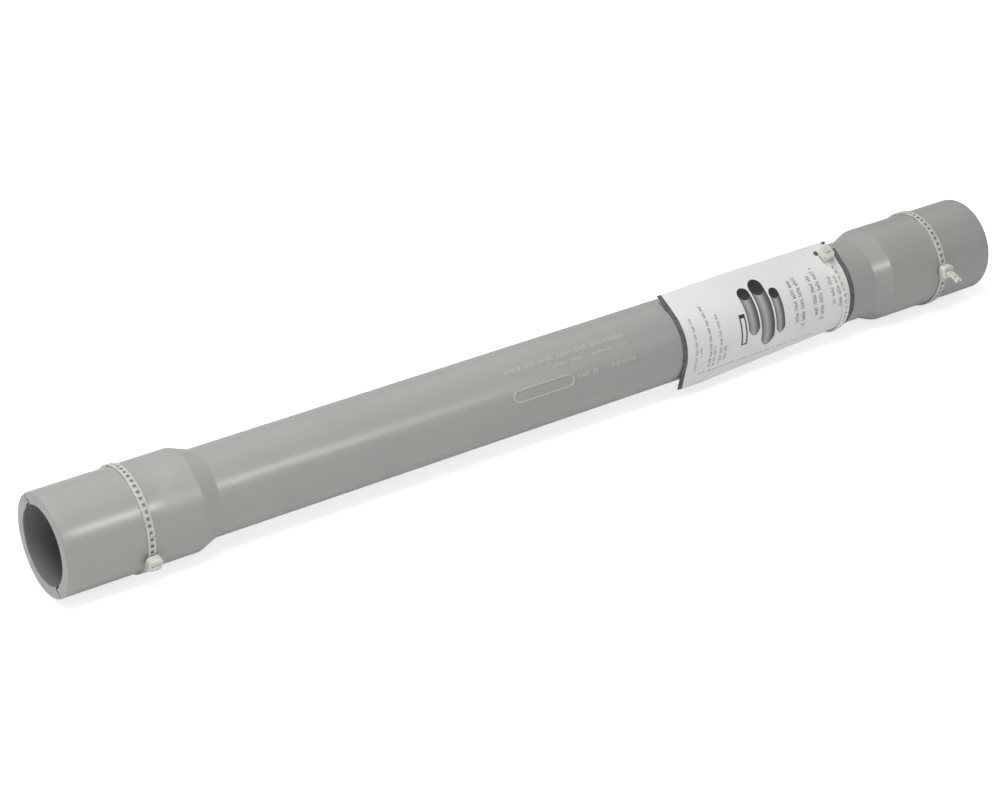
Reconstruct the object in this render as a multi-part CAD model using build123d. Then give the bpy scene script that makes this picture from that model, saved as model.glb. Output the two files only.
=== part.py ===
"""A split repair sleeve for rigid conduit, as it is sold: two half shells that lock together
along two seams, held shut by two ladder ties, with a folded backing sheet and a printed label
held on the middle by a third tie.

The sleeve lies along X, with the origin on its axis, halfway along, and Z up. Millimetres.
"""
from build123d import *
import os
from math import acos, atan2, cos, degrees, radians, sin, tau

# The conduit that the sleeve mends
conduit_diameter = 48.26
conduit_bore = 40.9

# The sleeve: a tube with a wide socket at each end, turned so that its front half shell
# looks upwards by the facing angle
overall_length = 708.0
socket_length = 88.7
taper_length = 12.3
socket_wall = 7.55
tube_wall = 6.8
socket_clearance = 0.17
mouth_bevel = 0.8
mouth_lead_in = 0.5
shoulder_rounding = 3.0
facing = 33.1

# The seam: half shells lock by a tongue on one edge and a groove on the other. Reaches are
# across the seam, heights are out from the bore
seam_gap = 0.25
tongue_reach = 3.4
tongue_height = 1.7
tongue_root_height = 3.9
tongue_rounding = 0.4
outer_step = 1.15
lip_reach = 4.2
lip_thickness = 0.4

# The ladder ties: a flat strap of links with a window at each joint, and a head
strap_width = 4.7
strap_thickness = 1.1
strap_pitch = 4.1
strap_clearance = 0.1
strap_bend = 1.0
window_width = 2.1
window_length = 2.2
plain_neck = 10.0
head_width = 8.8
head_length = 8.6
head_height = 5.2
head_rounding = 2.4
head_edge = 0.5
head_clearance = 0.3
foot_length = 1.6
foot_inset = 0.6
pawl_width = 1.5
pawl_thickness = 1.3
pawl_bite = 0.5
near_tie_from_mouth = 52.2
near_head_angle = 55.0
near_tail = 0.5
near_last_window = 2.1
far_tie_from_mouth = 42.8
far_tie_lean = 3.6
far_head_angle = 26.5
far_tail = 11.2
far_last_window = 0.4
label_tie_from_end = 6.2
label_tie_lean = 6.0
label_head_from_edge = 10.5
label_tail = 0.8
label_last_window = 2.1
label_tie_dip = 1.9

# The backing sheet, folded double with its fold below, and the label in front of it. Both
# follow the tube between the two angles and are straight beyond them
leaf_thickness = 0.45
label_thickness = 0.3
sheet_clearance = 0.1
label_clearance = 0.06
label_length = 138.8
label_from_taper = 24.8
backing_left_margin = 3.0
backing_right_margin = 4.4
fold_margin = 0.9
upper_angle = -20.8
upper_length = 20.8
lower_angle = 46.3
lower_length = 18.3
straight_end_length = 16.0
wrapped_end_length = 9.7
inner_leaf_angle = -43.5
leaf_split = 5.0
punch_clearance = 0.6
hole_radius = 1.8
hole_from_end = 12.6
hole_from_edge = 6.9
notch_radius = 1.6
notch_from_end = 2.4
notch_depth = 2.4

socket_radius = conduit_diameter / 2 + socket_clearance
bell_radius = socket_radius + socket_wall
bore_radius = conduit_bore / 2
tube_radius = bore_radius + tube_wall
mouth = overall_length / 2
shoulder = mouth - socket_length
waist = shoulder - taper_length
label_end = waist - label_from_taper
label_start = label_end - label_length
flare_start = label_start + straight_end_length
flare_end = label_end - wrapped_end_length
inner_leaf_radius = tube_radius + sheet_clearance + leaf_thickness / 2
fold_radius = inner_leaf_radius + leaf_thickness / 2
outer_leaf_radius = fold_radius + leaf_thickness / 2
label_radius = outer_leaf_radius + leaf_thickness / 2 + label_clearance + label_thickness / 2
label_face = label_radius + label_thickness / 2
strap_seat = strap_clearance + strap_thickness / 2
head_underside = strap_clearance + strap_thickness + head_clearance
head_top = head_underside + head_height


def section(x):
    """The plane across the sleeve at x. Its first axis points out of the middle of the front
    half shell and its second one down round it, and angles in it run the same way."""
    front = (0, -cos(radians(facing)), sin(radians(facing)))
    return Plane(origin=(x, 0, 0), x_dir=front, z_dir=(1, 0, 0))


def turned(angle):
    """A frame in the cross-section whose first axis points outwards at the angle."""
    return Rot(0, 0, angle)


def polar(radius, angle):
    """A point of the cross-section from its radius and angle."""
    return Vector(radius * cos(radians(angle)), radius * sin(radians(angle)))


def bearing(vector):
    """The angle that a vector of the cross-section points at."""
    return degrees(atan2(vector.Y, vector.X))


# The half shells

def sleeve_wall():
    """The wall before it is split: its outline along the axis, turned once round."""
    outside = [(-mouth, bell_radius), (-shoulder, bell_radius), (-waist, tube_radius)]
    inside = [(-mouth, socket_radius), (-shoulder, socket_radius), (-waist, bore_radius)]
    far_outside = [(-x, r) for x, r in reversed(outside)]
    far_inside = [(-x, r) for x, r in inside]
    outline = make_face(Polyline(*outside, *far_outside, *far_inside, *reversed(inside), close=True))

    def corners(x, radius):
        return [v for v in outline.vertices() if abs(abs(v.X) - x) + abs(v.Y - radius) < 0.01]

    outline = fillet(corners(shoulder, bell_radius) + corners(waist, tube_radius), shoulder_rounding)
    outline = chamfer(corners(mouth, bell_radius), mouth_bevel)
    outline = chamfer(corners(mouth, socket_radius), mouth_lead_in)
    return revolve(outline, Axis.X)


def seam_cutter(start, end, side):
    """What is cut away behind the front half shell's edge along one stretch of the wall.

    start and end are (x, bore radius) at the ends of the stretch. side is 1 at the lower edge,
    which carries the tongue, and -1 at the upper edge, which holds the other shell's tongue."""
    behind = -tongue_reach - lip_reach - 2 * seam_gap
    outline = Polyline(
        (behind, 2 * socket_wall),
        (side * outer_step, 2 * socket_wall),
        (side * outer_step, tongue_root_height),
        (-side * tongue_reach, tongue_height),
        (side * lip_reach, lip_thickness),
        (side * lip_reach, -lip_reach),
        (behind, -lip_reach),
        close=True,
    )
    face = make_face(outline)
    tip = face.vertices().sort_by_distance((-side * tongue_reach, tongue_height))[0]
    face = offset(fillet(tip, tongue_rounding), seam_gap / 2, kind=Kind.INTERSECTION)
    if side < 0:
        face = mirror(face, Plane.XZ)
    plane = section(start[0])
    run = Vector(end[0] - start[0], 0, 0) + plane.y_dir * side * (end[1] - start[1])
    return extrude(plane * Pos(0, side * start[1]) * face, run.length, dir=run.normalized())


def front_half():
    """The front half shell: the wall without what lies behind its two edges."""
    beyond = 1.0
    stations = [
        (-mouth - beyond, socket_radius),
        (-shoulder, socket_radius),
        (-waist, bore_radius),
        (waist, bore_radius),
        (shoulder, socket_radius),
        (mouth + beyond, socket_radius),
    ]
    reach = bell_radius + beyond
    back_edge = -tongue_reach - lip_reach
    rear_block = Box(reach + back_edge, 2 * reach, 2 * mouth + beyond, align=(Align.MIN, Align.CENTER, Align.CENTER))
    cutters = [section(0) * Pos(-reach, 0) * rear_block]
    for side in (1, -1):
        for start, end in zip(stations, stations[1:]):
            cutters.append(seam_cutter(start, end, side))
    return sleeve_wall() - cutters


# The ladder ties

def ease(radius, lean):
    """How much wider a strap is laid round a face because its plane leans by the angle: its
    ring looks narrower along the sleeve, and one of its edges comes closer to the face."""
    return (radius + strap_width / 2 * sin(radians(lean))) / cos(radians(lean)) - radius


def lay_on(radius, lean):
    """The radius of the joints of a strap laid on a round face: the middles of its flat links
    come nearest to the face."""
    return radius + ease(radius, lean) + strap_seat + strap_pitch**2 / (8 * radius)


def tie_head():
    """A tie's head without its pawl, seen along the sleeve: X out, Y the way the strap leaves.

    It is a rounded block with a slot for the strap's end, and a foot that the strap grows from."""
    block = Pos(head_underside + head_height / 2, 0) * Box(head_height, head_length, head_width)
    block = fillet(block.edges().filter_by(Axis.X), head_rounding)
    block = chamfer(block.edges().group_by(Axis.X)[0] + block.edges().group_by(Axis.X)[-1], head_edge)
    foot_height = head_underside + 2 * head_edge - strap_clearance
    foot = Box(foot_height, foot_length, strap_width, align=(Align.MIN, Align.MAX, Align.CENTER))
    slot_side = strap_thickness + 2 * head_clearance
    slot = Box(4 * head_height, slot_side, strap_width + 2 * head_clearance)
    return block + Pos(strap_clearance, head_length / 2 - foot_inset) * foot - slot


def pawl():
    """The tooth inside the slot, which reaches into a window of the strap."""
    root = strap_thickness / 2 + 2 * head_clearance
    tip = strap_thickness / 2 - pawl_bite
    tooth = Box(pawl_thickness, root - tip, pawl_width, align=(Align.CENTER, Align.MIN, Align.CENTER))
    return Pos(0, tip) * tooth


def ladder_tie(frame, path, tail, last_window):
    """One closed tie, seen along the sleeve, as one solid.

    frame places the head on what lies under it. path is the middle of the strap, from under
    the head round to where it turns out through the slot. tail is what stands out past the
    head, and last_window is how far the last window's middle is from the strap's end."""
    count = round(path.length / strap_pitch)
    joints = [path @ (i / count) for i in range(count + 1)]
    neck_joints = round(plain_neck / strap_pitch)
    root = (frame * Pos(strap_seat, head_length / 2 - foot_inset - foot_length / 2)).position
    tip = head_top + tail
    turn = FilletPolyline(joints[-2], joints[-1], (frame * Pos(tip, 0)).position, radius=strap_bend)
    strap = extrude(
        trace([Polyline(root, *joints[2:-1]), turn], strap_thickness),
        strap_width / 2,
        both=True,
    )
    window = Box(3 * strap_thickness, window_length, window_width)
    windows = []
    for start, end in zip(joints[neck_joints:-2], joints[neck_joints + 1:-1]):
        windows.append(Pos((start + end) / 2) * turned(bearing(end - start) - 90) * window)
    heights = [tip - last_window - i * strap_pitch for i in range(int(tip / strap_pitch))]
    windows += [frame * Pos(height, 0) * turned(90) * window for height in heights]
    middle = head_underside + head_height / 2
    caught = min(heights, key=lambda height: abs(height - middle))
    head = tie_head() + Pos(caught, 0) * pawl()
    return (strap - windows) + frame * head


def bell_tie(wanted_angle, lean, tail, last_window):
    """A tie round a socket, in a plane that leans by an angle. One of its links faces straight
    down, so that the sleeve lies on it without rolling, and its head sits on the joint that is
    nearest to the wanted angle."""
    joint_radius = lay_on(bell_radius, lean)
    links = round(tau * joint_radius / strap_pitch)
    step = 360 / links
    lowest_joint = 90 + facing - step / 2
    angle = lowest_joint - step * round((lowest_joint - wanted_angle) / step)
    path = turned(angle) * Wire(CenterArc((0, 0), joint_radius, 0, 360))
    frame = turned(angle) * Pos(bell_radius + ease(bell_radius, lean), 0)
    return Rot(0, lean, 0) * ladder_tie(frame, path, tail, last_window)


def upper_frame(radius, from_edge):
    """A frame on the straight upper part of a sheet that follows the given radius, at a
    distance from its upper edge. X points out of the sheet and Y down it."""
    return turned(upper_angle) * Pos(radius, from_edge - upper_length)


def label_tie_plane():
    """The plane that the label's tie lies in. It leans, so that the strap runs a little
    towards the sleeve's end on its way down."""
    return section(label_end - label_tie_from_end) * Rot(label_tie_lean, 0, 0)


def label_tie():
    """The tie that holds the label. From its head on the label's upper part the strap runs down
    the label, round the back of the tube, and out through the punched slot under the head."""
    frame = upper_frame(label_face + ease(label_face, label_tie_lean), label_head_from_edge)
    label_joints = lay_on(label_face, label_tie_lean)
    tube_joints = lay_on(tube_radius, label_tie_lean)
    fold_angle = lower_angle + degrees((lower_length + fold_margin + strap_pitch / 2) / fold_radius)
    free_angle = degrees(acos(tube_joints / label_joints))
    turn_in = (frame * Pos(-label_tie_dip, 0)).position
    leave_angle = bearing(turn_in) - degrees(acos(tube_joints / turn_in.length))
    back_start = fold_angle + free_angle
    over_head = upper_frame(label_joints, label_head_from_edge).position
    path = Wire([
        Line(over_head, polar(label_joints, upper_angle)),
        CenterArc((0, 0), label_joints, upper_angle, fold_angle - upper_angle),
        Line(polar(label_joints, fold_angle), polar(tube_joints, back_start)),
        CenterArc((0, 0), tube_joints, back_start, 360 + leave_angle - back_start),
        Line(polar(tube_joints, leave_angle), turn_in),
    ])
    return ladder_tie(frame, path, label_tail, label_last_window)


# The backing sheet and the label

def sheet_part(radius, thickness, start, end):
    """The side view of a sheet that follows the tube from one angle to another."""
    return trace(CenterArc((0, 0), radius, start, end - start), thickness)


def upper_part(radius, thickness):
    """The side view of a sheet's straight upper part, from its free edge down."""
    edge = upper_frame(radius, 0).position
    return trace(Line(edge, polar(radius, upper_angle)), thickness)


def lower_part(start, end, radius, thickness, length, folded):
    """The lower part of a sheet: straight up to the flare, where it starts to bend, and laid
    round the tube from the flare's end on. A folded one gets a round lower edge."""
    outer = Circle(thickness / 2)
    straight_end = (turned(lower_angle) * Pos(radius, length)).position
    straight = trace(Line(polar(radius, lower_angle), straight_end), thickness)
    round_angle = lower_angle + degrees(length / radius)
    wrapped = sheet_part(radius, thickness, lower_angle, round_angle)
    if folded:
        straight += Pos(straight_end) * outer
        wrapped += Pos(polar(radius, round_angle)) * outer
    left_end = extrude(section(start) * straight, flare_start - start)
    flare = loft([section(flare_start) * straight, section(flare_end) * wrapped], ruled=True)
    right_end = extrude(section(flare_end) * wrapped, end - flare_end)
    return left_end + flare + right_end


def punched_slot():
    """The slot under the tie's head, seen along the sleeve, as a block to cut away."""
    return upper_frame(label_face, label_head_from_edge) * Box(
        8 * leaf_thickness,
        strap_thickness + 2 * punch_clearance,
        strap_width + 2 * punch_clearance,
    )


def backing_sheet():
    """One sheet folded double. Its inner leaf hugs the tube and its outer leaf stands off it."""
    start = label_start - backing_left_margin
    end = label_end + backing_right_margin
    split_angle = upper_angle - leaf_split
    outline = sheet_part(fold_radius, 2 * leaf_thickness, split_angle, lower_angle)
    outline += upper_part(outer_leaf_radius, leaf_thickness)
    outline += sheet_part(inner_leaf_radius, leaf_thickness, inner_leaf_angle, split_angle)
    sheet = extrude(section(start) * outline, end - start)
    length = lower_length + fold_margin - leaf_thickness
    sheet += lower_part(start, end, fold_radius, 2 * leaf_thickness, length, True)
    return sheet - label_tie_plane() * punched_slot()


def printed_label():
    """The label: one sheet with a slot for the tie, a punched hole and a notch in its edge."""
    outline = sheet_part(label_radius, label_thickness, upper_angle, lower_angle)
    outline += upper_part(label_radius, label_thickness)
    label = extrude(section(label_start) * outline, label_length)
    label += lower_part(label_start, label_end, label_radius, label_thickness, lower_length, False)
    through = Rot(0, 90, 0)
    hole = upper_frame(label_radius, hole_from_edge) * through * Cylinder(hole_radius, 4 * label_thickness)
    notch_middle = upper_frame(label_radius, notch_depth - notch_radius)
    notch = notch_middle * through * Cylinder(notch_radius, 4 * label_thickness)
    label -= section(label_end - hole_from_end) * hole
    label -= section(label_end - notch_from_end) * notch
    return label - label_tie_plane() * punched_slot()


front = front_half()
near_tie = bell_tie(near_head_angle, 0, near_tail, near_last_window)
far_tie = bell_tie(far_head_angle, far_tie_lean, far_tail, far_last_window)
parts = {
    "front_half_shell": front,
    "rear_half_shell": front.rotate(Axis.X, 180),
    "near_cable_tie": section(near_tie_from_mouth - mouth) * near_tie,
    "far_cable_tie": section(mouth - far_tie_from_mouth) * far_tie,
    "label_cable_tie": label_tie_plane() * label_tie(),
    "printed_label": printed_label(),
    "backing_sheet": backing_sheet(),
}
os.makedirs("parts", exist_ok=True)
for name, solid in parts.items():
    export_step(solid, f"parts/{name}.step")
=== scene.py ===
"""The looks of a split repair sleeve for rigid conduit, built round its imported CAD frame.

The two half shells, their raised marks, the three ladder ties, the folded backing sheet and the
printed label are each made by a class that holds the sizes, works out the surfaces with numpy
and dresses the pieces. Sizes are in millimetres, as in the CAD source, and become metres where
a mesh is made. Angles are in degrees until a formula needs them in radians.
"""

import logging
from dataclasses import dataclass, replace
from enum import Enum
from math import cos, degrees, pi, radians, sin
from typing import Any, Callable, Mapping, Sequence

import bmesh
import bpy
import numpy as np
from bpy.types import Material, Node, NodeSocket, Object, World
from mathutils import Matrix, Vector
from mathutils.geometry import delaunay_2d_cdt
from numpy import ndarray as Array


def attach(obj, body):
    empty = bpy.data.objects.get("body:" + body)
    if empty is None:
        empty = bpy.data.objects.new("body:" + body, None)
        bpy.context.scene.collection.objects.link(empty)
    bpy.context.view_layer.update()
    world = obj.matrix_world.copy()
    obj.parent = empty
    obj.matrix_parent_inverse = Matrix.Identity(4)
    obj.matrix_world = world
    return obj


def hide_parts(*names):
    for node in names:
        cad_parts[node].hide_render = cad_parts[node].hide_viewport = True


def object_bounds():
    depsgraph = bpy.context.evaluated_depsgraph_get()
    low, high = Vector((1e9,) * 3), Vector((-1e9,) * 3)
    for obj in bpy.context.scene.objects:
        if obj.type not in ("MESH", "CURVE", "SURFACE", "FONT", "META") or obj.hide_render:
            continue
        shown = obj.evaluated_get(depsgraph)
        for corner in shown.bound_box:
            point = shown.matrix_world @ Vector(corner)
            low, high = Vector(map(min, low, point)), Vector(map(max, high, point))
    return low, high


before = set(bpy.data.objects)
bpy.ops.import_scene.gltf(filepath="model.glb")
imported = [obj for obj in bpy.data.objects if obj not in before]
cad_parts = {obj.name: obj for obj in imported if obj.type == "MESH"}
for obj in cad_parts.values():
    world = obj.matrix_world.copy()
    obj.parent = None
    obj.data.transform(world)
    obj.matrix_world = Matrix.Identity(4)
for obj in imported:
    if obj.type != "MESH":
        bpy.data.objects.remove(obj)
cad_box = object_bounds()

log = logging.getLogger("conduit_sleeve")

Pair = tuple[float, float]
Triple = tuple[float, float, float]
Colour = tuple[float, float, float, float]

MM = 0.001
"""Metres in a millimetre."""

BODY = "root"
"""The one body of the part, on which every piece rides."""


class Slot(Enum):
    """The record's material slots."""

    GREY_SHELL = "grey_shell"
    NYLON = "natural_nylon"
    PAPER = "label_paper"
    CARD = "backing_card"


def srgb(red: float, green: float, blue: float) -> Colour:
    """Turns a colour as a screen shows it into the linear one that a shader takes.

    Args:
        red: Its red, from 0 to 255.
        green: Its green.
        blue: Its blue.

    Returns:
        The colour, from 0 to 1, and 1 for its opacity.
    """
    seen = np.array([red, green, blue]) / 255
    linear = np.where(seen <= 0.04045, seen / 12.92, ((seen + 0.055) / 1.055) ** 2.4)
    return (*map(float, linear), 1.0)


# Shader graphs


def maths(operation: str, turned: bool = False) -> Callable[..., "Signal"]:
    """Makes a method of Signal out of a Math node's operation.

    Args:
        operation: The operation.
        turned: Whether the other value comes first, as in a number minus a signal.

    Returns:
        The method.
    """

    def method(self: "Signal", *others: "Signal | float") -> "Signal":
        """Adds the node and returns its result."""
        return self.graph.math(operation, *((*others, self) if turned else (self, *others)))

    return method


class Signal:
    """A number that varies over a surface: a socket that Python arithmetic adds nodes to.

    whole rounds down and part is what is left above it, least and most are the smaller and
    the larger of two, and a comparison gives 1 where it holds and 0 elsewhere.
    """

    __add__, __radd__ = maths("ADD"), maths("ADD", turned=True)
    __sub__, __rsub__ = maths("SUBTRACT"), maths("SUBTRACT", turned=True)
    __mul__, __rmul__ = maths("MULTIPLY"), maths("MULTIPLY", turned=True)
    __truediv__, __abs__ = maths("DIVIDE"), maths("ABSOLUTE")
    __gt__, __lt__ = maths("GREATER_THAN"), maths("LESS_THAN")
    whole, part, least, most = map(maths, ("FLOOR", "FRACT", "MINIMUM", "MAXIMUM"))
    root, arctangent = maths("SQRT"), maths("ARCTANGENT")

    def __init__(self, graph: "Surface", socket: NodeSocket) -> None:
        """Wraps an output socket of a graph."""
        self.graph = graph
        self.socket = socket

    def rise(self, low: float, high: float) -> "Signal":
        """Makes a smooth step, which falls if low is above high.

        Args:
            low: Where it is 0.
            high: Where it is 1.

        Returns:
            The step, from 0 to 1.
        """
        start, end, first, last = (low, high, 0.0, 1.0) if low < high else (high, low, 1.0, 0.0)
        ends = {"From Min": start, "From Max": end, "To Min": first, "To Max": last}
        node = self.graph.node(
            "MapRange", {"Value": self, **ends}, interpolation_type="SMOOTHSTEP", clamp=True
        )
        return Signal(self.graph, node.outputs["Result"])

    def within(self, low: float, high: float, soft: float) -> "Signal":
        """Returns 1 between two numbers and 0 outside them, over soft edges of that width."""
        half = soft / 2
        return self.rise(low - half, low + half) * self.rise(high + half, high - half)


class Graph:
    """The nodes of a material or of the world."""

    def __init__(self, holder: Material | World) -> None:
        """Turns on a holder's nodes and clears them.

        Args:
            holder: The material or the world.
        """
        holder.use_nodes = True
        self.tree = holder.node_tree
        self.tree.nodes.clear()

    def node(
        self, kind: str, sockets: Mapping[str | int, Any] | None = None, **settings: Any
    ) -> Node:
        """Adds a node of any type.

        Args:
            kind: The node's type, without the ShaderNode in front of it.
            sockets: The number, colour or link of each input, by its name or place.
            settings: Its own settings, which are set first. "stops" are a ramp's stops.

        Returns:
            The new node.
        """
        node = self.tree.nodes.new(f"ShaderNode{kind}")
        for place, (position, colour) in enumerate(settings.pop("stops", ())):
            stops = node.color_ramp.elements
            stop = stops[place] if place < len(stops) else stops.new(position)
            stop.position, stop.color = position, colour
        for name, value in settings.items():
            setattr(node, name, value)
        for name, value in (sockets or {}).items():
            self.put(node.inputs[name], value)
        return node

    def put(self, socket: NodeSocket, value: Any) -> None:
        """Links a socket to a signal or an output, or gives it a fixed value."""
        if isinstance(value, (Signal, NodeSocket)):
            self.tree.links.new(getattr(value, "socket", value), socket)
        else:
            socket.default_value = value

    def by_ray(self, light: NodeSocket, seen: NodeSocket) -> NodeSocket:
        """Returns a shader that is one thing to the camera and another to all other rays."""
        sockets = {"Fac": self.node("LightPath").outputs["Is Camera Ray"], 1: light, 2: seen}
        return self.node("MixShader", sockets).outputs["Shader"]


class Surface(Graph):
    """A material's nodes, with one Principled shader that a finish fills in."""

    def __init__(self, name: str) -> None:
        """Makes the material, its shader and its output.

        Args:
            name: The material's name.
        """
        self.material = bpy.data.materials.new(name)
        super().__init__(self.material)
        self.shader = self.node("BsdfPrincipled")
        self.output = self.node("OutputMaterial", {"Surface": self.shader.outputs["BSDF"]})

    def math(self, operation: str, *values: Signal | float) -> Signal:
        """Adds a Math node on its values and returns its result."""
        node = self.node("Math", dict(enumerate(values)), operation=operation)
        return Signal(self, node.outputs["Value"])

    def position(self, stretch: Triple = (1, 1, 1), shift: Triple = (0, 0, 0)) -> NodeSocket:
        """Reads the point on the object, in millimetres.

        Args:
            stretch: What each axis is then multiplied by for a pattern.
            shift: What is then added to each axis.

        Returns:
            The vector socket.
        """
        point = self.node("TexCoord").outputs["Object"]
        values = {0: point, 1: [share / MM for share in stretch], 2: shift}
        return self.node("VectorMath", values, operation="MULTIPLY_ADD").outputs["Vector"]

    def axes(self, vector: NodeSocket) -> list[Signal]:
        """Returns the three parts of a vector."""
        parts = self.node("SeparateXYZ", {"Vector": vector})
        return [Signal(self, output) for output in parts.outputs]

    def round_the_sleeve(self) -> list[Signal]:
        """Finds where a point is on the sleeve.

        Returns:
            How far along the sleeve it is and its distance from the axis, in millimetres, and
            its angle from the middle of its own half shell, downwards on the front half.
        """
        along, y, z = self.axes(self.position())
        turn = radians(SECTION.facing)
        out = z * sin(turn) - y * cos(turn)
        down = y * -sin(turn) - z * cos(turn)
        from_axis = (out * out + down * down).root()
        return [along, from_axis, (down / out).arctangent() * degrees(1)]

    def flat(self, width: float, length: float) -> list[Signal]:
        """Returns how far along and down a flat sheet of a size a point is, by its UV map."""
        across, down, _ = self.axes(self.node("UVMap", uv_map="flat").outputs["UV"])
        return [across * width, down * length]

    def chance(self, *values: Signal | float) -> Signal:
        """Makes chance out of numbers.

        Args:
            values: Up to three numbers that it depends on.

        Returns:
            An even random number from 0 to 1.
        """
        point = self.node("CombineXYZ", dict(enumerate([*values, 0.0, 0.0][:3])))
        sockets = {"Vector": point.outputs["Vector"]}
        node = self.node("TexWhiteNoise", sockets, noise_dimensions="3D")
        return Signal(self, node.outputs["Value"])

    def mix(
        self, factor: Signal | float, first: NodeSocket | Colour, second: NodeSocket | Colour
    ) -> NodeSocket:
        """Mixes two colours: a factor of 0 gives the first one and 1 the second one."""
        node = self.node("Mix", {0: factor, 6: first, 7: second}, data_type="RGBA")
        return node.outputs[2]

    def bump(self, height: Signal, depth: float, strength: float = 1.0) -> None:
        """Gives the shader a relief. Several calls lie on top of each other.

        Args:
            height: The relief, from 0 to 1.
            depth: How high 1 stands, in millimetres.
            strength: How much of it shows.
        """
        normal = self.shader.inputs["Normal"]
        sockets = {"Height": height, "Distance": depth * MM, "Strength": strength}
        if normal.is_linked:
            sockets["Normal"] = normal.links[0].from_socket
        self.put(normal, self.node("Bump", sockets).outputs["Normal"])

    def fill(self, **sockets: Any) -> None:
        """Sets or links the shader's own sockets; an underscore in a name stands for a space."""
        for name, value in sockets.items():
            self.put(self.shader.inputs[name.replace("_", " ")], value)


@dataclass(frozen=True)
class Noise:
    """Smooth noise over a piece, from 0 to 1: the size of its lumps in millimetres, how many
    finer layers it has and how strong they are, and how it is stretched and shifted."""

    size: float
    detail: float = 2.0
    rough: float = 0.5
    stretch: Triple = (1, 1, 1)
    shift: Triple = (0, 0, 0)

    def on(self, graph: Surface) -> Signal:
        """Adds the noise to a graph.

        Args:
            graph: The material's graph.

        Returns:
            The noise.
        """
        place = graph.position(self.stretch, self.shift)
        sockets = {"Vector": place, "Scale": 1 / self.size}
        sockets |= {"Detail": self.detail, "Roughness": self.rough}
        return Signal(graph, graph.node("TexNoise", sockets).outputs["Fac"])


# Finishes


PLASTIC_IOR = 1.53
"""How strongly both plastics refract light."""


@dataclass(frozen=True)
class Finish:
    """A material of its own kind.

    Of its fields, a step is where something begins and where it is whole, a share is how much
    of it shows, and a relief is its height in millimetres and how strongly it shows.
    """

    name: str

    def paint(self, graph: Surface) -> None:
        """Fills in the shader."""
        raise NotImplementedError

    def material(self) -> Material:
        """Builds the material.

        Returns:
            The material.
        """
        graph = Surface(self.name)
        self.paint(graph)
        return graph.material


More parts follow.
